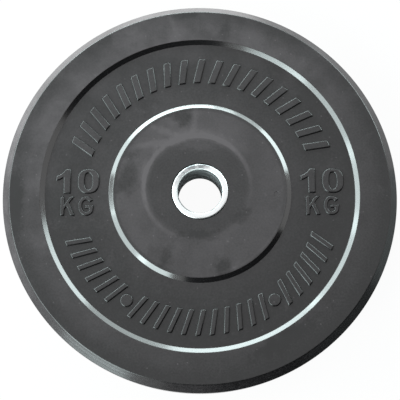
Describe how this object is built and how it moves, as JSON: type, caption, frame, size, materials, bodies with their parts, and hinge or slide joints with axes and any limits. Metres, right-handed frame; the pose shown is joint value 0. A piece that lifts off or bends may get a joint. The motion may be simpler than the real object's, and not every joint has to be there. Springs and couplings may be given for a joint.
{
  "type": "bumper plate",
  "caption": "Round black rubber weight plate with a bevelled tread, a recess and a raised boss on each face, and a steel-lined bore for a weightlifting bar.",
  "frame": {"origin": "on the axis of the bore, at the rear end of the steel sleeve, which is the lowest face of the plate as it lies", "axes": "+Z along the bore, out of the front face; +Y towards the top of the weight marks; +X to the right of someone who reads them"},
  "size_m": [0.45, 0.45, 0.047],
  "materials": {
    "moulded_rubber": "compression-moulded black rubber, smooth and slightly shiny, with a light bloom",
    "turned_steel": "turned and bright-plated, with fine lines round the axis",
    "plain_steel": "mill finish, hidden in the rubber",
    "weld_steel": "as welded, hidden in the rubber"
  },
  "bodies": {
    "root": {"rubber_disc": "moulded_rubber", "hub_sleeve": "turned_steel", "anchor_flange": "plain_steel", "weld_bead_front": "weld_steel", "weld_bead_rear": "weld_steel"}
  },
  "joints": []
}
